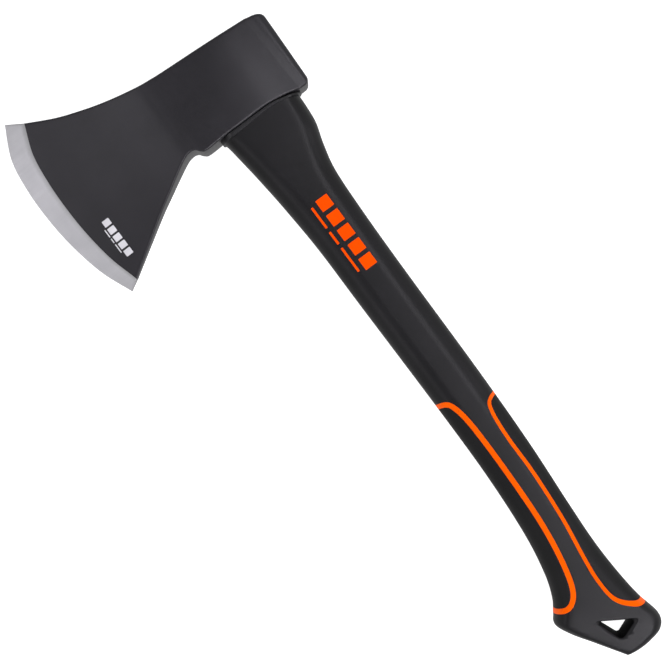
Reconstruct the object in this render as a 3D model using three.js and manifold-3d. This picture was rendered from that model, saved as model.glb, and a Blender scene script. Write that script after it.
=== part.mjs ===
// A hand axe lying on its cheek: a forged steel head on a fibreglass handle with a soft two-colour grip.
// Millimetres. While it is built, +X runs down the handle from the underside of the head, +Y points to the
// poll, the cutting edge faces -Y, and Z is the thickness with the middle plane at zero. At the end the
// whole axe is moved so that the origin is the middle of the underside of its bounding box.
import * as THREE from 'three';
import { mergeVertices } from 'three/addons/utils/BufferGeometryUtils.js';
import Module from 'manifold-3d';

const wasm = await Module();
wasm.setup();

// Clearance between pieces that touch on the real axe, and how near two points count as one.
const gap = 0.3;
const samePlace = 1e-5;

// Head: half thickness at the cheeks and at the poll, rounding of its forged edges, and the flat poll. A
// poll corner runs some way along the poll face and some way back from it.
const cheekHalf = 15;
const pollHalf = 12.5;
const pollRound = 2.4;
const bladeRound = 1.4;
const pollTop = new THREE.Vector2(-45.4, 37.6);
const pollBottom = new THREE.Vector2(4.4, 36.1);
const pollTopCorner = { along: 4.8, back: 9 };
const pollBottomCorner = { along: 4.2, back: 4.4 };
const edgeHalf = 0.3;

// Underside of the head: flat at the eye, then it runs down behind the handle into the poll.
const undersideFlatX = 0.6;
const undersideRise = 3.7;
const undersideRiseY = [8, 30];

// The forged edges grow rounder from the notch to the poll, between these two places.
const forgedRoundY = [-45, 30];

// Ribs of the head from the poll to the bevel: [top x, top y, underside x, underside y, half thickness,
// bow], where bow is the share of the cutting edge's curve that the rib follows.
const headRibs = [
  [-46.2, 27, 4.2, 29.5, 13.1, 0],
  [-46.6, 20, 2.2, 20, 13.75, 0],
  [-47.3, 8, 0.6, 8, cheekHalf, 0],
  [-48.9, -20, 0.6, -20, cheekHalf, 0],
  [-49.7, -32, 1.0, -33.3, cheekHalf, 0],
  [-50.1, -35.5, -0.4, -36.9, 14.9, 0],
  [-50.4, -38.5, -2.9, -39.1, 14.6, 0],
  [-50.8, -41.5, -3.6, -42.3, 14.2, 0],
  [-51.7, -46.4, -2.4, -47.1, 13.4, 0.02],
  [-54.0, -56.4, 2.6, -56.3, 11.3, 0.08],
  [-56.7, -66.2, 8.0, -65.8, 9.5, 0.15],
  [-60.0, -76.2, 13.7, -75.8, 7.9, 0.24],
  [-65.9, -91.4, 23.5, -91.5, 5.8, 0.4],
  [-74.5, -107.9, 34.7, -109.3, 3.9, 0.68],
];

// Cutting edge from the toe to the heel.
const cuttingEdge = new THREE.SplineCurve([
  new THREE.Vector2(-81, -117.6),
  new THREE.Vector2(-62.3, -126.6),
  new THREE.Vector2(-41.5, -129.7),
  new THREE.Vector2(-21, -129.8),
  new THREE.Vector2(-1.5, -127.9),
  new THREE.Vector2(19.5, -123.4),
  new THREE.Vector2(38.6, -115.8),
]);

// Eye through the head: a rounded slot that widens towards the top, so the resin locks the head on.
const eyeMiddleY = 2.5;
const eyeHalfLengthBottom = 19.5;
const eyeHalfWidthBottom = 8.6;
const eyeFlare = 1.2;
const ovalPlanShare = 1.3;
const ovalDepthShare = 0.9;
const resinTopX = -45.4;
const resinBottomX = -0.6;
const tongueTopX = -42;
const tongueInset = 1.9;
const tongueRootX = 14;

// Collar between the head and the shoulder, thicker at its front than at its back. Its lip stands proud all
// round, and twice as far at the back.
const collarFrontThickness = 2.4;
const collarBackThickness = 0.9;
const collarLip = 0.8;

// Share of the handle's half thickness that its rounded edges take up.
const handleDepthShare = 0.94;

// Handle stations from the shoulder to the butt corner: [front x, front y, back x, back y, half thickness,
// edge rounding in the plan view].
const handleStations = [
  [3.4, -23.9, 7.0, 27.0, 13.2, 8],
  [13, -22.5, 14, 26.9, 13.0, 9],
  [23, -21.0, 24, 25.6, 12.6, 10],
  [36, -19.65, 36.5, 21.75, 12.0, 10.5],
  [53, -18.2, 53, 18.35, 11.5, 11],
  [83, -16.55, 83, 16.9, 11.1, 11],
  [123, -16.35, 123, 16.2, 11.0, 11],
  [193, -15.85, 193, 15.75, 11.1, 11],
  [243, -16.3, 243, 14.4, 11.5, 11],
  [283, -18.9, 283, 11.9, 12.0, 11],
  [308, -23.2, 309, 10.65, 12.2, 10],
  [321.6, -27.9, 330, 11.1, 12.4, 9],
  [328.6, -32.4, 348, 12.75, 12.3, 8],
  [334.5, -35.6, 363.5, 15.8, 11.7, 7],
  [343.5, -31.8, 370.9, 11.9, 10.8, 7],
  [353.2, -25.4, 373.4, 3, 9.9, 6.5],
  [363.2, -18.9, 373.8, -5, 9.0, 6],
  [368.5, -15.4, 373.2, -8.8, 7.8, 5],
  [371.1, -13.6, 372.4, -11.6, 5.9, 2],
];

// The first stations are bent to follow the underside of the head.
const bentStations = 2;

// Soft cover over the hard jacket, which ends at a station before the hanging hole.
const coverThickness = 2.0;
const jacketEndStation = 12;
const roomBeyondJacket = 0.08;

// Glass-fibre rod inside the jacket.
const coreMiddleY = -3;
const coreHalfHeight = 9;
const coreHalfWidth = 5;
const coreRound = 4;
const coreEndX = 332;

// Accent loops: centre lines that start and end outside the handle, and the width of each loop. The rear one
// widens towards its lower end, over a span of places along its line.
const loopEnd = [0.66, 0.86];
const frontLoopWidth = 3.0;
const frontLoop = new THREE.SplineCurve([
  new THREE.Vector2(194.2, -24),
  new THREE.Vector2(195.7, -12.2),
  new THREE.Vector2(201.5, -8.2),
  new THREE.Vector2(216, -6.35),
  new THREE.Vector2(246, -6.3),
  new THREE.Vector2(280, -7.7),
  new THREE.Vector2(305.1, -11.2),
  new THREE.Vector2(322.3, -16.2),
  new THREE.Vector2(329, -23.3),
  new THREE.Vector2(327.1, -31.7),
  new THREE.Vector2(321, -40.8),
]);
const rearLoopWidth = 2.1;
const rearLoopEndWidth = 3.3;
const rearLoop = new THREE.SplineCurve([
  new THREE.Vector2(207, 24),
  new THREE.Vector2(208, 11.8),
  new THREE.Vector2(214, 7.6),
  new THREE.Vector2(232, 5.8),
  new THREE.Vector2(256, 5.6),
  new THREE.Vector2(286, 3.4),
  new THREE.Vector2(310, 0),
  new THREE.Vector2(326, -1.6),
  new THREE.Vector2(340, -0.2),
  new THREE.Vector2(348.8, 7),
  new THREE.Vector2(351.8, 14.4),
  new THREE.Vector2(352.8, 24),
]);

// Hanging hole: a rounded triangle right through the pommel, with a smaller waist in the middle plane.
const holeRim = [
  new THREE.Vector2(345.0, -16.0),
  new THREE.Vector2(362.4, -10.5),
  new THREE.Vector2(356.9, 3.1),
];
const holeWaist = [
  new THREE.Vector2(344.8, -15.2),
  new THREE.Vector2(358.7, -9.6),
  new THREE.Vector2(357.0, 2.4),
];
const holeRimRound = 3.6;
const holeWaistRound = 1.6;
const holeRimHeight = 10.8;
const beyondRim = 2;

// How finely the curved surfaces are divided.
const roundSteps = 4;
const pollSteps = 5;
const handleFlatSteps = 4;
const headFlatSteps = 12;
const stationSteps = 2;
const loopSteps = 26;
const mostRoundShare = 0.45;

// How far a cutting body reaches past what it cuts.
const beyondHandle = 60;
const beyondEye = 20;

const steel = new THREE.MeshStandardMaterial({ color: 0x2b2b2e, roughness: 0.45, metalness: 0.6 });
const softBlack = new THREE.MeshStandardMaterial({ color: 0x1f1f21, roughness: 0.75, metalness: 0 });
const gripBlack = new THREE.MeshStandardMaterial({ color: 0x1b1b1c, roughness: 0.8, metalness: 0 });
const collarGrey = new THREE.MeshStandardMaterial({ color: 0x38383a, roughness: 0.6, metalness: 0 });
const orange = new THREE.MeshStandardMaterial({ color: 0xff6200, roughness: 0.45, metalness: 0 });
const glassFibre = new THREE.MeshStandardMaterial({ color: 0xc9c3a0, roughness: 0.6, metalness: 0 });
const epoxy = new THREE.MeshStandardMaterial({ color: 0x26241f, roughness: 0.3, metalness: 0 });

// Two copies of a rib, one on each face, with rounded edges: first the upper face, then the lower one back.
function sectionRing(rib, half, planRound, depthRound, flatSteps = handleFlatSteps) {
  const length = rib(0).distanceTo(rib(1));
  const share = Math.min(planRound / length, mostRoundShare);
  const marks = [];
  for (let step = 0; step < roundSteps; step++) {
    const angle = (step / roundSteps) * Math.PI / 2;
    marks.push({ along: share * (1 - Math.cos(angle)), depth: half - depthRound * (1 - Math.sin(angle)) });
  }
  const farMarks = marks.map((mark) => ({ along: 1 - mark.along, depth: mark.depth })).reverse();
  for (let step = 0; step <= flatSteps; step++) {
    marks.push({ along: share + (1 - 2 * share) * step / flatSteps, depth: half });
  }
  marks.push(...farMarks);
  const upper = marks.map((mark) => {
    const point = rib(mark.along);
    return new THREE.Vector3(point.x, point.y, mark.depth);
  });
  const lower = upper.map((point) => new THREE.Vector3(point.x, point.y, -point.z)).reverse();
  return [...upper, ...lower];
}

// A closed body through rings of equal length, with ladder caps joining the two faces at each end.
function loft(rings) {
  const count = rings[0].length;
  const positions = rings.flat().flatMap((point) => [point.x, point.y, point.z]);
  const indices = [];
  for (let ring = 0; ring + 1 < rings.length; ring++) {
    for (let side = 0; side < count; side++) {
      const next = (side + 1) % count;
      const a = ring * count + side;
      const b = ring * count + next;
      indices.push(a, a + count, b, b, a + count, b + count);
    }
  }
  const last = (rings.length - 1) * count;
  for (let rung = 0; rung + 1 < count / 2; rung++) {
    const across = count - 1 - rung;
    indices.push(rung, rung + 1, across, rung + 1, across - 1, across);
    indices.push(last + rung, last + across, last + rung + 1);
    indices.push(last + rung + 1, last + across, last + across - 1);
  }
  const geometry = new THREE.BufferGeometry();
  geometry.setAttribute('position', new THREE.Float32BufferAttribute(positions, 3));
  geometry.setIndex(indices);
  return geometry;
}

// A three.js geometry as a solid that can be cut and joined.
function toSolid(geometry) {
  const bare = geometry.clone();
  bare.deleteAttribute('normal');
  bare.deleteAttribute('uv');
  const merged = mergeVertices(bare, samePlace);
  const vertProperties = Float32Array.from(merged.attributes.position.array);
  const triVerts = Uint32Array.from(merged.index.array);
  return new wasm.Manifold(new wasm.Mesh({ numProp: 3, vertProperties, triVerts }));
}

function toGeometry(solid) {
  const mesh = solid.getMesh();
  const geometry = new THREE.BufferGeometry();
  geometry.setAttribute('position', new THREE.BufferAttribute(Float32Array.from(mesh.vertProperties), 3));
  geometry.setIndex(new THREE.BufferAttribute(Uint32Array.from(mesh.triVerts), 1));
  return geometry;
}

// A plan outline as an upright prism that passes right through the axe.
function prism(points) {
  const settings = { depth: 2 * beyondHandle, bevelEnabled: false };
  const geometry = new THREE.ExtrudeGeometry(new THREE.Shape(points), settings);
  geometry.translate(0, 0, -beyondHandle);
  return toSolid(geometry);
}

// x of the underside of the head, which the collar and the shoulder follow.
function undersideX(y) {
  return undersideFlatX + undersideRise * THREE.MathUtils.smoothstep(y, ...undersideRiseY);
}

// A straight rib between two plan points, bowed by a share of the cutting edge's curve.
function bowedRib(top, bottom, bow) {
  return (u) => {
    const edgeChord = cuttingEdge.getPoint(0).lerp(cuttingEdge.getPoint(1), u);
    const sag = cuttingEdge.getPoint(u).sub(edgeChord);
    return top.clone().lerp(bottom, u).addScaledVector(sag, bow);
  };
}

// A ring of the head, with forged edges that are rounder at the poll than on the blade.
function headRing(top, bottom, half, bow) {
  const middleY = (top.y + bottom.y) / 2;
  const pollShare = THREE.MathUtils.smoothstep(middleY, ...forgedRoundY);
  const round = Math.min(THREE.MathUtils.lerp(bladeRound, pollRound, pollShare), half * mostRoundShare);
  return sectionRing(bowedRib(top, bottom, bow), half, round, round, headFlatSteps);
}

// Rings that round the poll's corners in plan and in thickness, from the face to the cheeks.
function pollRings() {
  const face = pollBottom.clone().sub(pollTop).normalize();
  const inward = new THREE.Vector2(face.y, -face.x);
  const corner = (point, { along, back }, inset, drop) => (
    point.clone().addScaledVector(face, along * inset).addScaledVector(inward, back * drop)
  );
  const rings = [];
  for (let step = 0; step < pollSteps; step++) {
    const angle = (step / pollSteps) * Math.PI / 2;
    const inset = 1 - Math.sin(angle);
    const drop = 1 - Math.cos(angle);
    const top = corner(pollTop, pollTopCorner, inset, drop);
    const bottom = corner(pollBottom, pollBottomCorner, -inset, drop);
    rings.push(headRing(top, bottom, pollHalf - pollRound * inset, 0));
  }
  return rings;
}

// An oval in the plane across the handle, used for everything that passes through the eye.
function ovalRing(x, halfLength, halfWidth) {
  const rib = (u) => new THREE.Vector2(0, eyeMiddleY + halfLength * (2 * u - 1));
  return sectionRing(rib, halfWidth, halfWidth * ovalPlanShare, halfWidth * ovalDepthShare).map(
    (point) => new THREE.Vector3(x, point.y, point.z),
  );
}

// The eye's tapered oval, made smaller by an inset, between two places along the handle.
function eyeSolid(fromX, toX, inset) {
  const headHeight = undersideX(0) - pollTop.x;
  const ring = (x) => {
    const flare = eyeFlare * (undersideX(0) - x) / headHeight;
    return ovalRing(x, eyeHalfLengthBottom + flare - inset, eyeHalfWidthBottom + flare - inset);
  };
  return toSolid(loft([ring(fromX), ring(toX)]));
}

function axeHead() {
  const rings = pollRings();
  for (const [topX, topY, bottomX, bottomY, half, bow] of headRibs) {
    rings.push(headRing(new THREE.Vector2(topX, topY), new THREE.Vector2(bottomX, bottomY), half, bow));
  }
  rings.push(headRing(cuttingEdge.getPoint(0), cuttingEdge.getPoint(1), edgeHalf, 1));
  const body = toSolid(loft(rings));
  return toGeometry(body.subtract(eyeSolid(pollTop.x - beyondEye, beyondEye, 0)));
}

// Smooth lines through the handle stations.
const lastStation = handleStations.length - 1;
const frontLine = new THREE.SplineCurve(handleStations.map(([x, y]) => new THREE.Vector2(x, y)));
const backLine = new THREE.SplineCurve(handleStations.map(([, , x, y]) => new THREE.Vector2(x, y)));
const sides = handleStations.map(([, , , , half, round]) => new THREE.Vector2(half, round));
const sideLine = new THREE.SplineCurve(sides);

// Thickness of the collar where it passes a given y.
function collarThickness(y) {
  const [, frontY, , backY] = handleStations[0];
  const share = THREE.MathUtils.smoothstep(y, frontY, backY);
  return THREE.MathUtils.lerp(collarFrontThickness, collarBackThickness, share);
}

// The handle's outside, made smaller by an inset, down to a place in the station table. The first rings
// follow the underside of the head, and an extension carries the top face on towards the head.
function handleSolid(inset, endStation, extension) {
  const rings = [];
  const steps = Math.ceil(endStation * stationSteps);
  for (let step = 0; step <= steps; step++) {
    const station = Math.min(step / stationSteps, endStation);
    const place = station / lastStation;
    const front = frontLine.getPoint(place);
    const back = backLine.getPoint(place);
    const across = back.clone().sub(front);
    const share = inset / across.length();
    const side = sideLine.getPoint(place);
    const bend = Math.max(0, 1 - station / bentStations);
    const rib = (u) => {
      const point = front.clone().addScaledVector(across, share + (1 - 2 * share) * u);
      const bentX = undersideX(point.y) + collarThickness(point.y) + 2 * gap;
      point.x = THREE.MathUtils.lerp(point.x, bentX, bend ** 2);
      return point;
    };
    const half = side.x - inset;
    rings.push(sectionRing(rib, half, side.y - inset, half * handleDepthShare));
  }
  if (extension > 0) {
    rings.unshift(rings[0].map((point) => new THREE.Vector3(point.x - extension, point.y, point.z)));
  }
  return toSolid(loft(rings));
}

// Everything inside an accent loop's outer edge (side 1) or inner edge (side -1), with that edge moved
// outwards by a growth.
function insideLoop({ curve, width, endWidth, outside, inward }, side, growth = 0) {
  const points = [];
  for (let step = 0; step <= loopSteps; step++) {
    const place = step / loopSteps;
    const tangent = curve.getTangent(place);
    const across = new THREE.Vector2(-tangent.y, tangent.x).multiplyScalar(-inward);
    const half = THREE.MathUtils.lerp(width, endWidth, THREE.MathUtils.smoothstep(place, ...loopEnd)) / 2;
    points.push(curve.getPoint(place).addScaledVector(across, side * half + growth));
  }
  const first = points[0];
  const last = points[points.length - 1];
  points.push(new THREE.Vector2(last.x, outside), new THREE.Vector2(first.x, outside));
  return prism(points);
}

const loops = [
  { curve: frontLoop, width: frontLoopWidth, endWidth: frontLoopWidth, outside: -beyondHandle, inward: -1 },
  { curve: rearLoop, width: rearLoopWidth, endWidth: rearLoopEndWidth, outside: beyondHandle, inward: 1 },
];

// The loop's own band, a prism between its two sides.
function loopBand(loop) {
  return insideLoop(loop, 1).subtract(insideLoop(loop, -1));
}

// A rod with rounded edges along the handle.
function coreSolid(fromX, toX, growth) {
  const rib = (u) => new THREE.Vector2(0, coreMiddleY + (coreHalfHeight + growth) * (2 * u - 1));
  const ring = (x) => sectionRing(rib, coreHalfWidth + growth, coreRound, coreRound).map(
    (point) => new THREE.Vector3(x, point.y, point.z),
  );
  return toSolid(loft([ring(fromX), ring(toX)]));
}

// A triangle with rounded corners, at a height.
function roundedTriangle(corners, round, z) {
  const points = [];
  corners.forEach((corner, index) => {
    const previous = corners[(index + 2) % 3].clone().sub(corner).normalize();
    const next = corners[(index + 1) % 3].clone().sub(corner).normalize();
    const start = corner.clone().addScaledVector(previous, round);
    const end = corner.clone().addScaledVector(next, round);
    const bend = new THREE.QuadraticBezierCurve(start, corner, end);
    points.push(...bend.getPoints(roundSteps).map(({ x, y }) => [x, y, z]));
  });
  return points;
}

// The hanging hole: two halves that narrow from beyond the faces of the pommel to the waist.
function hangingHole() {
  const flare = (holeRimHeight + beyondRim) / holeRimHeight;
  const mouth = holeWaist.map((corner, index) => corner.clone().lerp(holeRim[index], flare));
  const waist = roundedTriangle(holeWaist, holeWaistRound, 0);
  const [lower, upper] = [-1, 1].map((side) => {
    const rim = roundedTriangle(mouth, holeRimRound, side * (holeRimHeight + beyondRim));
    return wasm.Manifold.hull([...waist, ...rim]);
  });
  return lower.add(upper);
}

const handle = handleSolid(0, lastStation, 0);
const jacketBody = handleSolid(coverThickness, jacketEndStation, 0);
const roomEndStation = jacketEndStation + roomBeyondJacket;
const jacketRoom = handleSolid(coverThickness - gap, roomEndStation, collarFrontThickness);

function innerJacket() {
  let solid = jacketBody;
  for (const loop of loops) {
    solid = solid.add(handle.intersect(loopBand(loop)));
  }
  solid = solid.add(eyeSolid(tongueTopX, tongueRootX, tongueInset));
  return toGeometry(solid.subtract(coreSolid(tongueTopX - beyondEye, coreEndX + gap, gap)));
}

function outerCover() {
  let solid = handle.subtract(jacketRoom);
  for (const loop of loops) {
    solid = solid.subtract(insideLoop(loop, 1, gap));
  }
  return toGeometry(solid.subtract(hangingHole()));
}

function gripPad(loop) {
  const solid = handle.intersect(insideLoop(loop, -1, -gap));
  return toGeometry(solid.subtract(jacketRoom));
}

function shoulderCollar() {
  const [, frontY, , backY, shoulderHalf, round] = handleStations[0];
  const half = shoulderHalf + collarLip / 2;
  const rib = (thicknessShare) => (u) => {
    const y = THREE.MathUtils.lerp(frontY - collarLip, backY + 2 * collarLip, u);
    return new THREE.Vector2(undersideX(y) + gap + thicknessShare * collarThickness(y), y);
  };
  const rings = [0, 1].map((thicknessShare) => (
    sectionRing(rib(thicknessShare), half, round, half * handleDepthShare, headFlatSteps)
  ));
  return toGeometry(toSolid(loft(rings)).subtract(eyeSolid(-beyondEye, beyondEye, tongueInset - gap)));
}

function eyeResin() {
  const fill = eyeSolid(resinTopX, resinBottomX, gap);
  return toGeometry(fill.subtract(eyeSolid(tongueTopX - gap, beyondEye, tongueInset - gap)));
}

function fibreCore() {
  return toGeometry(coreSolid(tongueTopX, coreEndX, 0));
}

const [front, rear] = loops;
const pieces = [
  ['axe_head', axeHead(), steel],
  ['eye_resin', eyeResin(), epoxy],
  ['shoulder_collar', shoulderCollar(), collarGrey],
  ['fibre_core', fibreCore(), glassFibre],
  ['inner_jacket', innerJacket(), orange],
  ['outer_cover', outerCover(), softBlack],
  ['front_grip_pad', gripPad(front), gripBlack],
  ['rear_grip_pad', gripPad(rear), gripBlack],
];

const group = new THREE.Group();
for (const [name, geometry, material] of pieces) {
  const mesh = new THREE.Mesh(geometry, material);
  mesh.name = name;
  group.add(mesh);
}
const box = new THREE.Box3().setFromObject(group);
const middle = box.getCenter(new THREE.Vector3());
group.position.set(-middle.x, -middle.y, -box.min.z);

export default group;
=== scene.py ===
import math

import bpy
import numpy as np
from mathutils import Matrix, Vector
from mathutils.bvhtree import BVHTree


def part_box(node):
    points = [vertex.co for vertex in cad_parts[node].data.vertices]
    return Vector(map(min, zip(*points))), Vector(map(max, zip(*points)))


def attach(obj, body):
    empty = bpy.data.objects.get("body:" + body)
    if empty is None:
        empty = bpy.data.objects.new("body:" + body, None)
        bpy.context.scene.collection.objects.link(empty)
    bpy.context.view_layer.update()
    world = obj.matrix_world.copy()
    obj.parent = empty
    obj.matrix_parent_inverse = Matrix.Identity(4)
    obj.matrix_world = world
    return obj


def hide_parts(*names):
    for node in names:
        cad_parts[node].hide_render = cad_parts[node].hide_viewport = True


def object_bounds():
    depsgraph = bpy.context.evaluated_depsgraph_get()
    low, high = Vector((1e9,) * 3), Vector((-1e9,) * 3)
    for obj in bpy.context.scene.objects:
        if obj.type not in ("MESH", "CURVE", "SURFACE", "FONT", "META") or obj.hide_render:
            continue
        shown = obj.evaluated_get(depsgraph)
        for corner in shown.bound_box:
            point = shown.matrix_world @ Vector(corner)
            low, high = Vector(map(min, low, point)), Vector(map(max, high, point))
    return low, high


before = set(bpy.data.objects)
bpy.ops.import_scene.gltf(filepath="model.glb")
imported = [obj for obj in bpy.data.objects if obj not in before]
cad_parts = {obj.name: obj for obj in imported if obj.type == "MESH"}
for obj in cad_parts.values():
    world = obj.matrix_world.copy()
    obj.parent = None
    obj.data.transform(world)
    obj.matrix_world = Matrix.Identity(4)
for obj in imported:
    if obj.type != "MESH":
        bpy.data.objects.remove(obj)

cad_low, cad_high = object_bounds()
MM = 0.001

# The glass-fibre rod is straight, so its box in the frame says where the axe's own axes are.
ROD_TOP_X = -42.0
ROD_MIDDLE_Y = -3.0
rod_low, rod_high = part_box("fibre_core")
ORIGIN = np.array([
    rod_low.x - ROD_TOP_X * MM,
    (rod_low.y + rod_high.y) / 2 - ROD_MIDDLE_Y * MM,
    (rod_low.z + rod_high.z) / 2,
])

# Head: half thickness and crown of the cheeks, and the rounding of its edges. The poll narrows to its face
# over a depth of POLL_FACE_ROUND, along a curve with the power POLL_FULLNESS.
CHEEK_HALF = 15.0
CHEEK_CROWN = 0.7
POLL_FACE_ROUND = 3.4
POLL_FULLNESS = 1.5
POLL_ROUND = 1.5
BLADE_ROUND = 1.2
POLL_TOP = (-45.4, 37.7)
POLL_BOTTOM = (4.5, 36.2)
POLL_HALF = 12.5
# Corner of the poll: how far it runs along the poll face, and how far back from the face.
POLL_TOP_CORNER = (4.6, 9.0)
POLL_BOTTOM_CORNER = (4.0, 4.2)
EDGE_HALF = 0.25
# The forged edges grow rounder from the notch to the poll, and the cheeks grow fuller.
FORGED_EDGE_Y = (-45.0, 30.0)
BLADE_CROWN_SHARE = 0.4
# No rounding takes more than this share of the half thickness there.
THIN_ROUND_SHARE = 0.35
# The bevel begins with a narrow steeper strip: its share of the bevel's width, and the drop over it.
BEVEL_LIP_SHARE = 0.06
BEVEL_LIP_DROP = 0.5
# The underside is flat at the eye, then runs down behind the handle into the poll.
UNDERSIDE_FLAT_X = 0.6
UNDERSIDE_RISE = 3.7
UNDERSIDE_RISE_Y = (8.0, 30.0)
# Ribs from the poll to the bevel: top x, top y, underside x, underside y, half thickness, bow.
HEAD_RIBS = np.array([
    [-46.2, 27, 4.3, 29.5, 13.1, 0],
    [-46.6, 20, 2.2, 20, 13.75, 0],
    [-47.3, 8, 0.6, 8, 14.75, 0],
    [-48.1, -6, 0.6, -6, CHEEK_HALF, 0],
    [-48.9, -20, 0.6, -20, 14.6, 0],
    [-49.7, -32, 1.1, -33.3, 14.1, 0],
    [-50.1, -35.5, -0.4, -36.9, 13.9, 0],
    [-50.4, -38.5, -2.9, -39.1, 13.7, 0],
    [-50.8, -41.5, -3.6, -42.3, 13.4, 0],
    [-51.7, -46.4, -2.3, -47.1, 12.8, 0.02],
    [-54.0, -56.4, 2.6, -56.3, 11.1, 0.08],
    [-56.7, -66.2, 8.0, -65.8, 9.4, 0.15],
    [-60.0, -76.2, 13.7, -75.8, 7.85, 0.24],
    [-65.9, -91.4, 23.5, -91.5, 5.8, 0.4],
    [-74.5, -107.9, 34.7, -109.3, 3.9, 0.68],
])
CUTTING_EDGE = np.array([
    [-81, -117.6],
    [-62.3, -126.6],
    [-41.5, -129.7],
    [-21, -129.8],
    [-1.5, -127.9],
    [19.5, -123.4],
    [38.6, -115.8],
])

# Eye, with the resin in it. Its cutter runs from above the head to below it.
EYE_CUT_X = (-70.0, 20.0)
EYE_MIDDLE_Y = 2.5
EYE_HALF_LENGTH = 19.5
EYE_HALF_WIDTH = 8.6
EYE_FLARE = 1.2
# The rounding of the eye's oval, as shares of its half width: in plan and in thickness.
OVAL_PLAN_SHARE = 1.3
OVAL_DEPTH_SHARE = 0.95
RESIN_TOP_X = -45.4
RESIN_BOTTOM_X = -0.6
RESIN_SEAM = 0.05

# Collar and handle.
GAP = 0.3
# The collar is thicker at its front than at its back.
COLLAR_FRONT = 2.4
COLLAR_BACK = 0.9
COLLAR_LIP = 0.9
COLLAR_PLAN_ROUND = 8.0
COLLAR_EDGE_ROUND = 0.5
COLLAR_HOLE_INSET = 1.6
COLLAR_CUT_X = (-20.0, 20.0)
# Stations: front x, front y, back x, back y, half thickness, edge rounding in plan.
HANDLE_STATIONS = np.array([
    [3.4, -23.9, 7.0, 27.0, 13.2, 8],
    [13, -22.5, 14, 26.9, 13.0, 9],
    [23, -21.0, 24, 25.6, 12.6, 10],
    [36, -19.65, 36.5, 21.75, 12.0, 10.5],
    [53, -18.2, 53, 18.35, 11.5, 11],
    [83, -16.55, 83, 16.9, 11.1, 11],
    [123, -16.35, 123, 16.2, 11.0, 11],
    [193, -15.85, 193, 15.75, 11.1, 11],
    [243, -16.3, 243, 14.4, 11.5, 11],
    [283, -18.9, 283, 11.9, 12.0, 11],
    [308, -23.2, 309, 10.65, 12.2, 10],
    [321.6, -27.9, 330, 11.1, 12.4, 9],
    [328.6, -32.4, 348, 12.75, 12.3, 8],
    [334.5, -35.6, 363.5, 15.8, 11.7, 7],
    [343.5, -31.8, 370.9, 11.9, 10.8, 7],
    [353.2, -25.4, 373.4, 3, 9.9, 6.5],
    [363.2, -18.9, 373.8, -5, 9.0, 6],
    [368.5, -15.4, 373.2, -8.8, 7.8, 5],
    [371.1, -13.6, 372.4, -11.6, 5.9, 2],
])
# The first stations are bent to follow the underside of the head.
BENT_STATIONS = 2
LAST_STATION = len(HANDLE_STATIONS) - 1
HANDLE_CROWN = 0.5
# The sides of the handle and of the collar are nearly full rounds: the share of the half thickness.
SIDE_ROUND_SHARE = 0.97

# The soft cover lies over the hard jacket, which ends at a station before the hanging hole.
COVER_THICKNESS = 2.0
JACKET_END = 12.0
ROOM_BEYOND_JACKET = 0.08
LOOP_DEPTH = 4.0

# Centre lines and widths of the accent loops. The rear one grows wider towards its lower end, over a span
# of places along its line.
FRONT_LOOP_WIDTH = 3.0
FRONT_LOOP = np.array([
    [194.2, -24],
    [195.7, -12.2],
    [201.5, -8.2],
    [216, -6.35],
    [246, -6.3],
    [280, -7.7],
    [305.1, -11.2],
    [322.3, -16.2],
    [329, -23.3],
    [327.1, -31.7],
    [321, -40.8],
])
REAR_LOOP_WIDTH = 2.1
REAR_LOOP_END_WIDTH = 3.3
REAR_LOOP = np.array([
    [207, 24],
    [208, 11.8],
    [214, 7.6],
    [232, 5.8],
    [256, 5.6],
    [286, 3.4],
    [310, 0],
    [326, -1.6],
    [340, -0.2],
    [348.8, 7.0],
    [351.8, 14.4],
    [352.8, 24],
])
LOOP_END = (0.66, 0.86)
LOOP_NUDGE = 0.001

# The hanging hole narrows from both faces to a smaller triangle in the middle plane. HOLE_FACE is how far
# the faces are from that plane. The lip rolls into the hole along a curve with the power LIP_FULLNESS.
HOLE_RIM = np.array([[345.0, -16.0], [362.4, -10.5], [356.9, 3.1]])
HOLE_WAIST = np.array([[344.8, -15.2], [358.7, -9.6], [357.0, 2.4]])
HOLE_ROUND = 3.6
WAIST_ROUND = 1.6
HOLE_LIP = 1.2
LIP_FULLNESS = 1.5
HOLE_FACE = 10.8
# The walls of the hole, which take the painted shade, are nearer than this to its middle, and steeper than
# its lip.
HOLE_REACH = 17.0
STEEPEST_LIP = 0.6

# Seams between pieces that touch, and a distance that lies outside the handle on every side of it.
SEAM = 0.06
SEAM_ROUND = 0.28
BEYOND = 60.0
# Centre line, width, width at the lower end, a place outside the handle, and the side that faces it.
LOOPS = {
    "front": (FRONT_LOOP, FRONT_LOOP_WIDTH, FRONT_LOOP_WIDTH, -BEYOND, -1),
    "rear": (REAR_LOOP, REAR_LOOP_WIDTH, REAR_LOOP_END_WIDTH, BEYOND, 1),
}

# Printed marks. Blocks are given as start x, length, middle y, height, count and gap, and dashes as start
# x, length, middle y and height.
BLADE_BLOCKS = (-2.9, 24.3, -103.8, 4.5, 5, 1.2)
BLADE_DASHES = (1.7, 15.9, -107.3, 0.6)
HANDLE_BLOCKS = (60.3, 48.1, 1.8, 7.8, 5, 2.6)
HANDLE_DASHES = (62.0, 44.5, -5.75, 1.4)
# Where each dash starts and ends, as shares of the row.
DASH_SHARES = ((0.0, 0.32), (0.38, 0.57), (0.63, 1.0))
MARK_HEIGHT = 0.05
MARK_CORNER = 0.35
MARK_STEP = 0.7

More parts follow.
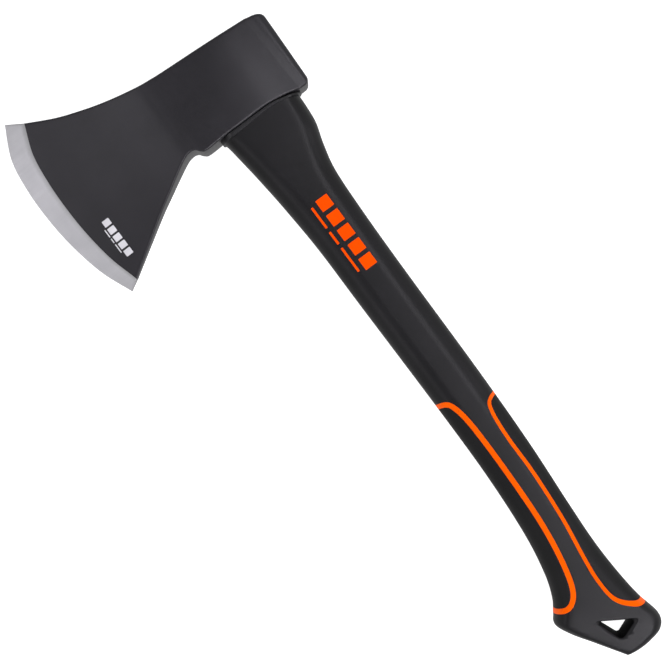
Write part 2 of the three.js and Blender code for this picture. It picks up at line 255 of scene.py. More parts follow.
# How finely the surfaces are divided.
HEAD_ROUND_STEPS = 6
HEAD_FLAT_STEPS = 56
RIB_STEPS = 6
POLL_STEPS = 10
BEVEL_STEPS = 5
OVAL_STEPS = 12
COLLAR_ROUND_STEPS = 12
COLLAR_FLAT_STEPS = 30
HANDLE_ROUND_STEPS = 9
HANDLE_FLAT_STEPS = 12
STATION_STEPS = 12
LOOP_STEPS = 170
HOLE_STEPS = 8
MARK_CORNER_STEPS = 4
EDGE_ROUND_STEPS = 3

# Angles in degrees: edges sharper than these are rounded, or stay sharp in the shading.
ROUNDED_ANGLE = 40
SHARP_ANGLE = 35
HEAD_SHARP_ANGLE = 24


# ---------------------------------------------------------------- shape helpers
def spline(points, place):
    """A smooth curve through points, at a place from 0 to 1."""
    spans = len(points) - 1
    at = min(max(place, 0.0), 1.0) * spans
    index = min(int(at), spans - 1)
    t = at - index
    before = points[max(index - 1, 0)]
    start = points[index]
    end = points[index + 1]
    after = points[min(index + 2, spans)]
    slope_in = (end - before) / 2
    slope_out = (after - start) / 2
    return (
        (2 * start - 2 * end + slope_in + slope_out) * t**3
        + (-3 * start + 3 * end - 2 * slope_in - slope_out) * t**2
        + slope_in * t
        + start
    )


def smoothstep(value, low, high):
    share = min(max((value - low) / (high - low), 0.0), 1.0)
    return share * share * (3 - 2 * share)


def underside_x(y):
    """x of the underside of the head, which the collar and the shoulder follow."""
    return UNDERSIDE_FLAT_X + UNDERSIDE_RISE * smoothstep(y, *UNDERSIDE_RISE_Y)


def collar_thickness(y):
    """Thickness of the collar, which thins from the front of the shoulder to its back."""
    front_y, back_y = HANDLE_STATIONS[0][1], HANDLE_STATIONS[0][3]
    return COLLAR_FRONT + (COLLAR_BACK - COLLAR_FRONT) * smoothstep(y, front_y, back_y)


# No rounding in plan takes more than this share of a rib.
WIDEST_ROUND_SHARE = 0.45


def section_ring(rib, half, plan_round, depth_round, round_steps, flat_steps, crown=0.0):
    """Both faces of a rib with rounded edges: the upper face, then the lower one back."""
    length = np.linalg.norm(rib(1.0) - rib(0.0))
    share = min(plan_round / length, WIDEST_ROUND_SHARE)
    marks = []
    for step in range(round_steps):
        angle = step / round_steps * math.pi / 2
        marks.append((share * (1 - math.cos(angle)), half - depth_round * (1 - math.sin(angle))))
    far_marks = [(1 - along, depth) for along, depth in reversed(marks)]
    for step in range(flat_steps + 1):
        marks.append((share + (1 - 2 * share) * step / flat_steps, half))
    marks += far_marks
    upper = []
    for along, depth in marks:
        x, y = rib(along)
        upper.append((x, y, depth - crown * depth / half * (2 * along - 1) ** 2))
    lower = [(x, y, -z) for x, y, z in reversed(upper)]
    return np.array(upper + lower)


def new_object(name, points, faces):
    """A mesh object from points in the axe's own millimetres."""
    mesh = bpy.data.meshes.new(name)
    placed = np.asarray(points, float) * MM + ORIGIN
    mesh.from_pydata([tuple(point) for point in placed], [], faces)
    mesh.update()
    obj = bpy.data.objects.new(name, mesh)
    bpy.context.scene.collection.objects.link(obj)
    return obj


def loft(name, rings):
    """A closed body through rings of equal length, with ladder caps at its two ends."""
    count = len(rings[0])
    faces = []
    for ring in range(len(rings) - 1):
        for side in range(count):
            a = ring * count + side
            b = ring * count + (side + 1) % count
            faces.append((a, a + count, b + count, b))
    last = (len(rings) - 1) * count
    for rung in range(count // 2 - 1):
        across = count - 1 - rung
        faces.append((rung, rung + 1, across - 1, across))
        faces.append((last + rung, last + across, last + across - 1, last + rung + 1))
    return new_object(name, np.concatenate(rings), faces)


def prism(name, outline):
    """A plan outline as an upright prism that passes right through the handle."""
    area = sum(a[0] * b[1] - b[0] * a[1] for a, b in zip(outline, np.roll(outline, -1, axis=0)))
    points = outline if area > 0 else outline[::-1]
    count = len(points)
    corners = [(x, y, -BEYOND) for x, y in points] + [(x, y, BEYOND) for x, y in points]
    faces = [tuple(reversed(range(count))), tuple(range(count, 2 * count))]
    for side in range(count):
        following = (side + 1) % count
        faces.append((side, following, count + following, count + side))
    return new_object(name, corners, faces)


def settle(obj):
    """Makes an object's modifiers part of its mesh."""
    graph = bpy.context.evaluated_depsgraph_get()
    mesh = bpy.data.meshes.new_from_object(obj.evaluated_get(graph))
    obj.modifiers.clear()
    obj.data = mesh


def combine(obj, others, operation):
    """Cuts, joins or intersects obj with other objects, and takes those away."""
    for other in others:
        modifier = obj.modifiers.new(operation, "BOOLEAN")
        modifier.operation = operation
        modifier.solver = "EXACT"
        modifier.object = other
    settle(obj)
    for other in others:
        bpy.data.objects.remove(other)


def round_edges(obj, width):
    """Rounds the sharp edges."""
    bevel = obj.modifiers.new("round_edges", "BEVEL")
    bevel.width = width * MM
    bevel.segments = EDGE_ROUND_STEPS
    bevel.limit_method = "ANGLE"
    bevel.angle_limit = math.radians(ROUNDED_ANGLE)
    bevel.miter_outer = "MITER_ARC"
    settle(obj)


def shade_smooth(obj, angle=SHARP_ANGLE):
    obj.data.shade_smooth()
    obj.data.set_sharp_from_angle(angle=math.radians(angle))


# ---------------------------------------------------------------- head
def bowed_rib(top, bottom, bow):
    """A straight rib between two plan points, bowed by a share of the cutting edge's curve."""
    def rib(along):
        chord = CUTTING_EDGE[0] * (1 - along) + CUTTING_EDGE[-1] * along
        sag = spline(CUTTING_EDGE, along) - chord
        return top * (1 - along) + bottom * along + sag * bow
    return rib


def head_ring(top, bottom, half, bow):
    """A ring of the head: crowned and well rounded near the poll, flatter and crisper on the blade."""
    poll_share = smoothstep((top[1] + bottom[1]) / 2, *FORGED_EDGE_Y)
    rounding = BLADE_ROUND + (POLL_ROUND - BLADE_ROUND) * poll_share
    rounding = min(rounding, half * THIN_ROUND_SHARE)
    fullness = BLADE_CROWN_SHARE + (1 - BLADE_CROWN_SHARE) * poll_share
    crown = CHEEK_CROWN * fullness * min(half / CHEEK_HALF, 1)
    rib = bowed_rib(top, bottom, bow)
    return section_ring(rib, half, rounding, rounding, HEAD_ROUND_STEPS, HEAD_FLAT_STEPS, crown)


def poll_rings():
    """Rings that round the poll's corners, from its face to the cheeks."""
    top_corner = np.array(POLL_TOP)
    bottom_corner = np.array(POLL_BOTTOM)
    face = (bottom_corner - top_corner) / np.linalg.norm(bottom_corner - top_corner)
    inward = np.array([face[1], -face[0]])
    rings = []
    for step in range(POLL_STEPS):
        angle = step / POLL_STEPS * math.pi / 2
        inset = 1 - math.sin(angle)
        drop = 1 - math.cos(angle)
        top = top_corner + face * POLL_TOP_CORNER[0] * inset + inward * POLL_TOP_CORNER[1] * drop
        bottom = bottom_corner - face * POLL_BOTTOM_CORNER[0] * inset + inward * POLL_BOTTOM_CORNER[1] * drop
        half = POLL_HALF - POLL_FACE_ROUND * inset**POLL_FULLNESS
        rings.append(head_ring(top, bottom, half, 0.0))
    return rings


def oval_ring(x, half_length, half_width):
    """An oval across the handle."""
    def rib(along):
        return np.array([0.0, EYE_MIDDLE_Y + half_length * (2 * along - 1)])
    plan_round = half_width * OVAL_PLAN_SHARE
    depth_round = half_width * OVAL_DEPTH_SHARE
    ring = section_ring(rib, half_width, plan_round, depth_round, OVAL_STEPS, OVAL_STEPS)
    ring[:, 0] = x
    return ring


def eye_ring(x, inset):
    """The eye at one place along the handle, made smaller by an inset. It flares towards the top."""
    height = UNDERSIDE_FLAT_X - POLL_TOP[0]
    flare = EYE_FLARE * (UNDERSIDE_FLAT_X - x) / height
    return oval_ring(x, EYE_HALF_LENGTH + flare - inset, EYE_HALF_WIDTH + flare - inset)


def make_head():
    """The forged head, from the poll's rings through the ribs to the ground edge, with the eye cut out."""
    rings = poll_rings()
    count = (len(HEAD_RIBS) - 1) * RIB_STEPS
    for step in range(count + 1):
        row = spline(HEAD_RIBS, step / count)
        rings.append(head_ring(row[0:2], row[2:4], min(row[4], CHEEK_HALF), max(row[5], 0.0)))
    bevel_row = HEAD_RIBS[-1]
    edge_row = np.array([*CUTTING_EDGE[0], *CUTTING_EDGE[-1], EDGE_HALF, 1.0])
    for step in range(BEVEL_STEPS + 1):
        share = BEVEL_LIP_SHARE + (1 - BEVEL_LIP_SHARE) * step / BEVEL_STEPS
        row = bevel_row * (1 - share) + edge_row * share
        half = EDGE_HALF + (bevel_row[4] - BEVEL_LIP_DROP - EDGE_HALF) * (1 - step / BEVEL_STEPS)
        rings.append(head_ring(row[0:2], row[2:4], half, row[5]))
    head = loft("forged_head", rings)
    last_rib = len(rings) - BEVEL_STEPS - 2
    tag_ground_faces(head, last_rib * len(rings[0]))
    eye = loft("eye_cutter", [eye_ring(x, 0.0) for x in EYE_CUT_X])
    combine(head, [eye], "DIFFERENCE")
    return head


def tag_ground_faces(head, first_vertex):
    """Marks the faces of the ground bevel, whose vertices all come from the last rings."""
    ground = head.data.attributes.new("ground", "BOOLEAN", "FACE")
    for polygon in head.data.polygons:
        ground.data[polygon.index].value = min(polygon.vertices) >= first_vertex


# ---------------------------------------------------------------- handle
def handle_ring(station, inset):
    """A ring of the handle at a station, which may lie between two of them, made smaller by an inset."""
    row = spline(HANDLE_STATIONS, station / LAST_STATION)
    front, back, half = row[0:2], row[2:4], row[4] - inset
    across = back - front
    share = inset / np.linalg.norm(across)
    bend = max(0.0, 1 - station / BENT_STATIONS) ** 2

    def rib(along):
        point = front + across * (share + (1 - 2 * share) * along)
        bent_x = underside_x(point[1]) + collar_thickness(point[1]) + 2 * GAP
        return np.array([point[0] * (1 - bend) + bent_x * bend, point[1]])

    plan_round = row[5] - inset
    depth_round = half * SIDE_ROUND_SHARE
    return section_ring(
        rib, half, plan_round, depth_round, HANDLE_ROUND_STEPS, HANDLE_FLAT_STEPS, HANDLE_CROWN
    )


def handle_body(name, inset, last_station, extension=0.0):
    """The handle's outside made smaller by an inset, down to a station and longer at the top."""
    steps = math.ceil(last_station * STATION_STEPS)
    rings = [handle_ring(min(step / STATION_STEPS, last_station), inset) for step in range(steps + 1)]
    if extension > 0:
        rings.insert(0, rings[0] - np.array([extension, 0, 0]))
    return loft(name, rings)


def loop_outline(which, side, growth):
    """The region on the outer side of one edge of a loop, with that edge moved outwards by a growth."""
    loop, width, end_width, outside, inward = LOOPS[which]
    points = []
    for step in range(LOOP_STEPS + 1):
        place = step / LOOP_STEPS
        tangent = spline(loop, min(place + LOOP_NUDGE, 1)) - spline(loop, max(place - LOOP_NUDGE, 0))
        tangent /= np.linalg.norm(tangent)
        half = (width + (end_width - width) * smoothstep(place, *LOOP_END)) / 2
        normal = np.array([-tangent[1], tangent[0]]) * -inward
        points.append(spline(loop, place) + normal * (side * half + growth))
    points.append(np.array([points[-1][0], outside]))
    points.append(np.array([points[0][0], outside]))
    return np.array(points)


def inside_loop(which, side, growth=0.0):
    """Everything inside a loop's inner edge (side -1) or outer edge (side 1), grown by a distance."""
    return prism(f"{which}_region", loop_outline(which, side, growth))


def hole_ring(z, growth):
    """The hanging hole's rounded triangle at one height, grown outwards. Corners move twice as far."""
    rim_share = min(abs(z) / HOLE_FACE, 1.0)
    corners = HOLE_WAIST + (HOLE_RIM - HOLE_WAIST) * rim_share
    rounding = WAIST_ROUND + (HOLE_ROUND - WAIST_ROUND) * rim_share
    middle = corners.mean(axis=0)
    points = []
    for index, corner in enumerate(corners):
        outward = corner - middle
        grown = corner + outward / np.linalg.norm(outward) * growth * 2
        previous = corners[index - 1] - corner
        following = corners[(index + 1) % 3] - corner
        start = grown + previous / np.linalg.norm(previous) * rounding
        end = grown + following / np.linalg.norm(following) * rounding
        for step in range(HOLE_STEPS + 1):
            t = step / HOLE_STEPS
            points.append((1 - t) ** 2 * start + 2 * t * (1 - t) * grown + t * t * end)
    return np.array([(x, y, z) for x, y in points])


def hole_cutter():
    """A cutter with flared ends, which leave a rounded lip on both faces of the pommel."""
    rings = []
    profile = [(-BEYOND, HOLE_LIP * 2)]
    for step in range(HOLE_STEPS + 1):
        angle = step / HOLE_STEPS * math.pi / 2
        rise = math.sin(angle)
        profile.append((-HOLE_FACE + HOLE_LIP * rise, HOLE_LIP * (1 - rise) ** LIP_FULLNESS))
    profile += [(0.0, 0.0)] + [(-z, growth) for z, growth in reversed(profile)]
    for z, growth in profile:
        rings.append(hole_ring(z, growth))
    count = len(rings[0])
    faces = [tuple(reversed(range(count)))]
    for ring in range(len(rings) - 1):
        for side in range(count):
            a = ring * count + side
            b = ring * count + (side + 1) % count
            faces.append((a, b, b + count, a + count))
    last = (len(rings) - 1) * count
    faces.append(tuple(range(last, last + count)))
    return new_object("hole_cutter", np.concatenate(rings), faces)


def hole_walls_for_painted_shade(cover):
    """The faces in the hanging hole that are steeper than its lip, which take the painted shade. They all
    face its middle.
    """
    middle = HOLE_RIM.mean(axis=0)
    walls = []
    for polygon in cover.data.polygons:
        offset = ((np.array(polygon.center) - ORIGIN) / MM)[0:2] - middle
        facing = polygon.normal.x * offset[0] + polygon.normal.y * offset[1]
        if np.linalg.norm(offset) < HOLE_REACH and facing < 0 and abs(polygon.normal.z) < STEEPEST_LIP:
            walls.append(polygon)
    return walls


def jacket_room():
    """The room inside the soft pieces for the hard jacket."""
    return handle_body("room", COVER_THICKNESS - GAP, JACKET_END + ROOM_BEYOND_JACKET, COLLAR_FRONT)


def make_cover():
    """The soft cover: the handle less both loops with what is inside them, and the hanging hole."""
    cover = handle_body("soft_cover", 0.0, LAST_STATION)
    loops = [inside_loop(which, 1, SEAM) for which in LOOPS]
    combine(cover, [jacket_room(), *loops, hole_cutter()], "DIFFERENCE")
    return cover


def make_pad(which):
    """The soft island inside one loop."""
    pad = handle_body(f"{which}_pad", 0.0, LAST_STATION)
    combine(pad, [inside_loop(which, -1, -SEAM)], "INTERSECT")
    combine(pad, [jacket_room()], "DIFFERENCE")
    return pad


def make_loop(which):
    """One accent loop: the band of the jacket that comes up through the cover."""
    band = handle_body(f"{which}_accent_loop", 0.0, LAST_STATION)
    combine(band, [inside_loop(which, 1)], "INTERSECT")
    combine(band, [inside_loop(which, -1), handle_body("hollow", LOOP_DEPTH, JACKET_END)], "DIFFERENCE")
    return band


def make_collar():
    """A thin ring between the underside of the head and the shoulder, which stands out a little."""
    front_y = HANDLE_STATIONS[0][1] - COLLAR_LIP
    back_y = HANDLE_STATIONS[0][3] + 2 * COLLAR_LIP
    half = HANDLE_STATIONS[0][4] + COLLAR_LIP / 2
    rings = []
    for offset, share in ((GAP, 0.0), (2 * GAP - SEAM, 1.0)):
        def rib(along, offset=offset, share=share):
            y = front_y + (back_y - front_y) * along
            return np.array([underside_x(y) + offset + share * collar_thickness(y), y])
        rings.append(section_ring(
            rib, half, COLLAR_PLAN_ROUND, half * SIDE_ROUND_SHARE, COLLAR_ROUND_STEPS, COLLAR_FLAT_STEPS
        ))
    collar = loft("shoulder_ring", rings)
    hollow = loft("collar_hollow", [eye_ring(x, COLLAR_HOLE_INSET) for x in COLLAR_CUT_X])
    combine(collar, [hollow], "DIFFERENCE")
    return collar


def make_resin():
    """The resin that fills the eye. The tongue of the jacket and the rod stay hidden in it."""
    return loft("resin_cap", [eye_ring(x, RESIN_SEAM) for x in (RESIN_TOP_X, RESIN_BOTTOM_X)])


# ---------------------------------------------------------------- printed marks
def surface_under(obj):
    """A search tree of an object's surface, in the axe's own millimetres."""
    points = [(np.array(vertex.co) - ORIGIN) / MM for vertex in obj.data.vertices]
    return BVHTree.FromPolygons(points, [tuple(polygon.vertices) for polygon in obj.data.polygons])


def column_marks(length, height):
    """Places along a bar, with the half height that leaves its corners round."""
    corner = min(MARK_CORNER, height / 2)
    marks = []
    for step in range(MARK_CORNER_STEPS + 1):
        angle = step / MARK_CORNER_STEPS * math.pi / 2
        marks.append((corner * (1 - math.cos(angle)), height / 2 - corner * (1 - math.sin(angle))))
    far = [(length - along, half) for along, half in reversed(marks)]
    middle = max(2, round((length - 2 * corner) / MARK_STEP))
    for step in range(1, middle):
        marks.append((corner + (length - 2 * corner) * step / middle, height / 2))
    return marks + far


def add_bar(points, faces, surface, start, length, middle, height):
    """A thin printed bar that follows the surface under it."""
    columns = column_marks(length, height)
    rows = max(2, round(height / MARK_STEP))
    first = len(points)
    layer = len(columns) * (rows + 1)
    for lift in (MARK_HEIGHT, -MARK_HEIGHT):
        for along, half in columns:
            for row in range(rows + 1):
                x = start + along
                y = middle + half * (2 * row / rows - 1)
                hit = surface.ray_cast(Vector((x, y, BEYOND)), Vector((0, 0, -1)))[0]
                points.append((x, y, hit.z + lift))

    def corner(column, row, side):
        return first + side * layer + column * (rows + 1) + row

    last = len(columns) - 1
    for column in range(last):
        for row in range(rows):
            faces.append((corner(column, row, 0), corner(column + 1, row, 0),
                          corner(column + 1, row + 1, 0), corner(column, row + 1, 0)))
            faces.append((corner(column, row, 1), corner(column, row + 1, 1),
                          corner(column + 1, row + 1, 1), corner(column + 1, row, 1)))
        faces.append((corner(column, 0, 0), corner(column, 0, 1),
                      corner(column + 1, 0, 1), corner(column + 1, 0, 0)))
        faces.append((corner(column, rows, 0), corner(column + 1, rows, 0),
                      corner(column + 1, rows, 1), corner(column, rows, 1)))
    for row in range(rows):
        faces.append((corner(0, row, 0), corner(0, row + 1, 0), corner(0, row + 1, 1), corner(0, row, 1)))
        faces.append((corner(last, row, 0), corner(last, row, 1),
                      corner(last, row + 1, 1), corner(last, row + 1, 0)))


def make_mark(name, under, blocks, dashes):
    """A plain mark: a row of equal blocks, and three dashes under it."""
    surface = surface_under(under)
    points = []
    faces = []
    start, length, middle, height, count, gap = blocks
    width = (length - (count - 1) * gap) / count
    for index in range(count):
        add_bar(points, faces, surface, start + index * (width + gap), width, middle, height)
    start, length, middle, height = dashes
    for share_start, share_end in DASH_SHARES:
        dash_length = length * (share_end - share_start)
        add_bar(points, faces, surface, start + length * share_start, dash_length, middle, height)
    return new_object(name, points, faces)


# ---------------------------------------------------------------- materials
# The middle part of a noise texture's values, which a number or a colour is spread over.
NOISE_MIDDLE = (0.3, 0.7)
NOISE_BLEND = (0.35, 0.65)


def new_material(name):
    material = bpy.data.materials.new(name)
    material.use_nodes = True
    return material, material.node_tree.nodes, material.node_tree.links


def noise(nodes, links, scale, detail, stretch=(1, 1, 1)):
    """A noise texture in the axe's own place, in metres."""
    place = nodes.new("ShaderNodeTexCoord")
    mapping = nodes.new("ShaderNodeMapping")
    mapping.inputs["Scale"].default_value = stretch
    texture = nodes.new("ShaderNodeTexNoise")
    texture.inputs["Scale"].default_value = scale
    texture.inputs["Detail"].default_value = detail
    links.new(place.outputs["Object"], mapping.inputs["Vector"])
    links.new(mapping.outputs["Vector"], texture.inputs["Vector"])
    return texture


def spread(nodes, links, source, low, high):
    """A number between low and high, led by a texture."""
    node = nodes.new("ShaderNodeMapRange")
    node.inputs["From Min"].default_value = NOISE_MIDDLE[0]
    node.inputs["From Max"].default_value = NOISE_MIDDLE[1]
    node.inputs["To Min"].default_value = low
    node.inputs["To Max"].default_value = high
    links.new(source.outputs["Fac"], node.inputs["Value"])
    return node.outputs["Result"]


def blend_colours(nodes, links, source, first, second):
    """A colour between two others, led by a texture."""
    ramp = nodes.new("ShaderNodeValToRGB")
    for stop, place, colour in zip(ramp.color_ramp.elements, NOISE_BLEND, (first, second)):
        stop.position = place
        stop.color = (*colour, 1)
    links.new(source.outputs["Fac"], ramp.inputs["Fac"])
    return ramp.outputs["Color"]


def bumps(nodes, links, layers):
    """Bump nodes one after another: each layer is a texture, its height in metres and its strength."""
    normal = None
    for texture, height, strength in layers:
        bump = nodes.new("ShaderNodeBump")
        bump.inputs["Distance"].default_value = height
        bump.inputs["Strength"].default_value = strength
        links.new(texture.outputs["Fac"], bump.inputs["Height"])
        if normal is not None:
            links.new(normal, bump.inputs["Normal"])
        normal = bump.outputs["Normal"]
    return normal


def plastic(name, dark, light, roughness, specular, grain_scale, grain_height, gloss=(1, 1, 1)):
    """A moulded plastic with a fine grain and slightly uneven gloss."""
    material, nodes, links = new_material(name)
    shader = nodes["Principled BSDF"]
    shader.inputs["Specular IOR Level"].default_value = specular
    shader.inputs["Specular Tint"].default_value = (*gloss, 1)
    patches = noise(nodes, links, scale=45, detail=3)
    grain = noise(nodes, links, scale=grain_scale, detail=2)
    links.new(blend_colours(nodes, links, patches, dark, light), shader.inputs["Base Color"])
    links.new(spread(nodes, links, grain, *roughness), shader.inputs["Roughness"])
    links.new(bumps(nodes, links, [(grain, grain_height, 0.6)]), shader.inputs["Normal"])
    return material


def coated_steel():
    """Forged steel under a black coat, with the unevenness of the forging and a fine peel in the coat."""
    material, nodes, links = new_material("coated_steel")
    shader = nodes["Principled BSDF"]
    shader.inputs["Specular IOR Level"].default_value = 0.43
    patches = noise(nodes, links, scale=38, detail=4)
    peel = noise(nodes, links, scale=900, detail=2)
    forging = noise(nodes, links, scale=90, detail=3)
    colour = blend_colours(nodes, links, patches, (0.0108, 0.0101, 0.0126), (0.0146, 0.0136, 0.0168))
    links.new(colour, shader.inputs["Base Color"])
    links.new(spread(nodes, links, peel, 0.32, 0.4), shader.inputs["Roughness"])
    layers = [(forging, 0.00006, 0.5), (peel, 0.00002, 0.5)]
    links.new(bumps(nodes, links, layers), shader.inputs["Normal"])
    return material


def ground_steel():
    """Bare steel with fine scratches across the edge, which the grinding leaves."""
    material, nodes, links = new_material("ground_steel")
    shader = nodes["Principled BSDF"]
    shader.inputs["Metallic"].default_value = 1.0
    scratches = noise(nodes, links, scale=900, detail=3, stretch=(1, 0.03, 0.03))
    patches = noise(nodes, links, scale=60, detail=3)
    colour = blend_colours(nodes, links, patches, (0.48, 0.48, 0.49), (0.52, 0.52, 0.53))
    links.new(colour, shader.inputs["Base Color"])
    links.new(spread(nodes, links, scratches, 0.4, 0.48), shader.inputs["Roughness"])
    links.new(bumps(nodes, links, [(scratches, 0.000004, 0.4)]), shader.inputs["Normal"])
    return material


def floor_material():
    """A pale floor that gives off light, so that it stays white and holds no shadow."""
    material, nodes, links = new_material("pale_floor")
    shader = nodes["Principled BSDF"]
    shader.inputs["Specular IOR Level"].default_value = 0.0
    shader.inputs["Emission Color"].default_value = (1, 1, 1, 1)
    shader.inputs["Emission Strength"].default_value = 1.0
    patches = noise(nodes, links, scale=3, detail=2)
    colour = blend_colours(nodes, links, patches, (0.38, 0.38, 0.38), (0.4, 0.4, 0.4))
    links.new(colour, shader.inputs["Base Color"])
    shader.inputs["Roughness"].default_value = 0.9
    return material


BLACK_STEEL = coated_steel()
BRIGHT_STEEL = ground_steel()
SOFT_BLACK = plastic(
    "soft_black", dark=(0.0052, 0.0050, 0.0057), light=(0.0072, 0.0069, 0.0079),
    roughness=(0.34, 0.44), specular=0.26, grain_scale=2600, grain_height=0.00003,
)
GRIP_BLACK = plastic(
    "grip_black", dark=(0.0050, 0.0050, 0.0052), light=(0.0068, 0.0068, 0.0071),
    roughness=(0.44, 0.54), specular=0.2, grain_scale=2200, grain_height=0.00005,
)
COLLAR_BLACK = plastic(
    "collar_black", dark=(0.010, 0.010, 0.011), light=(0.013, 0.013, 0.014),
    roughness=(0.36, 0.44), specular=0.35, grain_scale=2600, grain_height=0.00002,
)
# Painted shade: the hanging hole's walls get a darker, duller black than the rubber, standing in for the
# shadow inside the hole.
HOLE_WALL_PAINTED_SHADE = plastic(
    "hole_painted_shade", dark=(0.0022, 0.0022, 0.0024), light=(0.0030, 0.0030, 0.0032),
    roughness=(0.6, 0.7), specular=0.06, grain_scale=2600, grain_height=0.00003,
)
ORANGE_GLOSS = (1.0, 0.3, 0.02)
ORANGE = plastic(
    "orange_plastic", dark=(0.93, 0.105, 0.001), light=(0.97, 0.12, 0.002),
    roughness=(0.45, 0.55), specular=0.15, grain_scale=1800, grain_height=0.00001, gloss=ORANGE_GLOSS,
)
PRINT_ORANGE = plastic(
    "print_orange", dark=(0.95, 0.075, 0.001), light=(0.99, 0.085, 0.001),
    roughness=(0.5, 0.6), specular=0.1, grain_scale=1800, grain_height=0.00001, gloss=ORANGE_GLOSS,
)
PRINT_GREY = plastic(
    "print_grey", dark=(0.66, 0.66, 0.68), light=(0.74, 0.74, 0.76),
    roughness=(0.45, 0.55), specular=0.2, grain_scale=1800, grain_height=0.00001,
)
RESIN = plastic(
    "cast_resin", dark=(0.02, 0.018, 0.012), light=(0.03, 0.026, 0.018),
    roughness=(0.15, 0.3), specular=0.5, grain_scale=600, grain_height=0.00004,
)
GLASS_FIBRE = plastic(
    "glass_fibre", dark=(0.55, 0.52, 0.38), light=(0.7, 0.66, 0.5),
    roughness=(0.45, 0.6), specular=0.5, grain_scale=1500, grain_height=0.00002,
)


# ---------------------------------------------------------------- assembly
def dress(obj, materials, slot, *nodes):
    """Gives a piece its materials and its body, and hides the CAD nodes that it stands for. The slot is not
    used.
    """
    obj.data.materials.clear()
    for material in materials:
        obj.data.materials.append(material)
    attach(obj, "root")
    if nodes:
        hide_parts(*nodes)


head = make_head()
blade_mark = make_mark("blade_print", head, BLADE_BLOCKS, BLADE_DASHES)
dress(blade_mark, [PRINT_GREY], "coated_steel")
shade_smooth(head, HEAD_SHARP_ANGLE)
dress(head, [BLACK_STEEL, BRIGHT_STEEL], "coated_steel", "axe_head")
for polygon, tag in zip(head.data.polygons, head.data.attributes["ground"].data):
    polygon.material_index = int(tag.value)

resin = make_resin()
shade_smooth(resin)
dress(resin, [RESIN], "dark_resin", "eye_resin")

collar = make_collar()
round_edges(collar, COLLAR_EDGE_ROUND)
shade_smooth(collar)
dress(collar, [COLLAR_BLACK], "collar_plastic", "shoulder_collar")

cover = make_cover()
handle_mark = make_mark("handle_print", cover, HANDLE_BLOCKS, HANDLE_DASHES)
dress(handle_mark, [PRINT_ORANGE], "orange_plastic")
round_edges(cover, SEAM_ROUND)
shade_smooth(cover)
dress(cover, [SOFT_BLACK, HOLE_WALL_PAINTED_SHADE], "soft_black", "outer_cover")
# Painted shade: the steep walls of the hanging hole take the darker black.
for polygon in hole_walls_for_painted_shade(cover):
    polygon.material_index = 1

for which in LOOPS:
    pad = make_pad(which)
    round_edges(pad, SEAM_ROUND)
    shade_smooth(pad)
    dress(pad, [GRIP_BLACK], "grip_black", f"{which}_grip_pad")
    loop = make_loop(which)
    round_edges(loop, SEAM_ROUND)
    shade_smooth(loop)
    dress(loop, [ORANGE], "orange_plastic", "inner_jacket")

core = bpy.data.objects["fibre_core"]
core.data.materials.clear()
core.data.materials.append(GLASS_FIBRE)


# ---------------------------------------------------------------- stage, light and camera
FLOOR_HALF = 12.0
LAMP_COLOUR = (1.0, 0.974, 1.045)
LAMP_DISTANCE = 1.6
# Soft lights: name, elevation and azimuth in degrees, size in metres, brightness.
LAMPS = (
    ("high_right", 67, 38, 0.7, 3.6),
    ("high_back", 65, 108, 0.6, 3.9),
    ("right", 44, 45, 0.6, 2.2),
    ("low_right", 26, 68, 0.6, 1.8),
    ("butt_end", 50, 0, 0.5, 8.5),
    ("high_left", 65, 240, 0.5, 0.5),
    ("left", 54, 230, 0.6, 2.1),
    ("front", 43, 270, 0.5, 1.7),
)
# Brightness of the studio by how far up a direction points, from straight down to straight up.
WALLS = ((-1.0, 0.5), (-0.5, 0.6), (0.5, 0.6), (1.0, 0.02))
CAMERA_DISTANCE = 0.9
# What the camera sees across at the middle plane, in metres, the axe's own point in the middle of the
# picture, and how far the camera is turned about its line of sight, in degrees.
VIEW_WIDTH = 0.37905
VIEW_MIDDLE = np.array([123.0, -36.5, 0.0])
VIEW_ROLL = 53.4
SENSOR_MM = 36.0


def make_floor():
    mesh = bpy.data.meshes.new("floor")
    corners = [(x * FLOOR_HALF, y * FLOOR_HALF, cad_low.z) for x, y in ((-1, -1), (1, -1), (1, 1), (-1, 1))]
    mesh.from_pydata(corners, [], [(0, 1, 2, 3)])
    floor = bpy.data.objects.new("floor", mesh)
    bpy.context.scene.collection.objects.link(floor)
    mesh.materials.append(floor_material())
    floor.visible_glossy = False


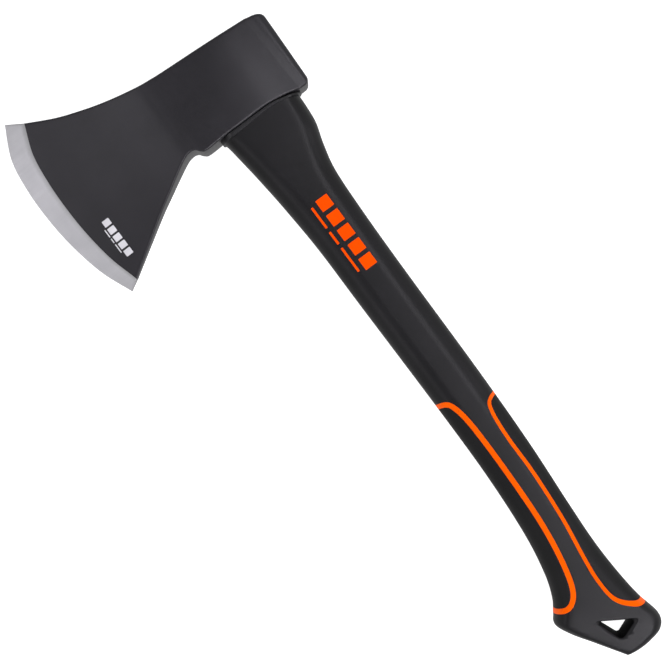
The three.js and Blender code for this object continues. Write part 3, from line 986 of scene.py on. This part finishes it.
def softbox(name, elevation, azimuth, size, brightness):
    """A square area light that faces the middle of the axe. Azimuth turns from +X toward +Y, in degrees."""
    light = bpy.data.lights.new(name, "AREA")
    light.shape = "SQUARE"
    light.size = size
    light.energy = brightness * math.pi * size * size
    light.color = LAMP_COLOUR
    up, around = math.radians(elevation), math.radians(azimuth)
    place = Vector((math.cos(up) * math.cos(around), math.cos(up) * math.sin(around), math.sin(up)))
    obj = bpy.data.objects.new(name, light)
    obj.location = place * LAMP_DISTANCE
    obj.rotation_euler = (-place).to_track_quat("-Z", "Y").to_euler()
    obj.visible_camera = False
    bpy.context.scene.collection.objects.link(obj)


def make_world():
    """A studio with pale walls, a dark ceiling and a slightly darker space below."""
    world = bpy.data.worlds.new("studio")
    world.use_nodes = True
    nodes, links = world.node_tree.nodes, world.node_tree.links
    place = nodes.new("ShaderNodeTexCoord")
    split = nodes.new("ShaderNodeSeparateXYZ")
    height = nodes.new("ShaderNodeMapRange")
    height.inputs["From Min"].default_value = -1.0
    ramp = nodes.new("ShaderNodeValToRGB")
    stops = ramp.color_ramp.elements
    while len(stops) < len(WALLS):
        stops.new(0.5)
    for stop, (upward, brightness) in zip(stops, WALLS):
        stop.position = (upward + 1) / 2
        stop.color = (brightness, brightness, brightness, 1)
    links.new(place.outputs["Generated"], split.inputs["Vector"])
    links.new(split.outputs["Z"], height.inputs["Value"])
    links.new(height.outputs["Result"], ramp.inputs["Fac"])
    links.new(ramp.outputs["Color"], nodes["Background"].inputs["Color"])
    bpy.context.scene.world = world


def make_camera():
    data = bpy.data.cameras.new("camera")
    data.sensor_width = SENSOR_MM
    data.lens = SENSOR_MM * CAMERA_DISTANCE / VIEW_WIDTH
    camera = bpy.data.objects.new("camera", data)
    camera.location = Vector(VIEW_MIDDLE * MM + ORIGIN) + Vector((0, 0, CAMERA_DISTANCE))
    camera.rotation_euler = (0, 0, math.radians(VIEW_ROLL))
    bpy.context.scene.collection.objects.link(camera)
    bpy.context.scene.camera = camera


make_floor()
make_world()
for lamp in LAMPS:
    softbox(*lamp)
make_camera()
bpy.context.scene.view_settings.view_transform = "Standard"
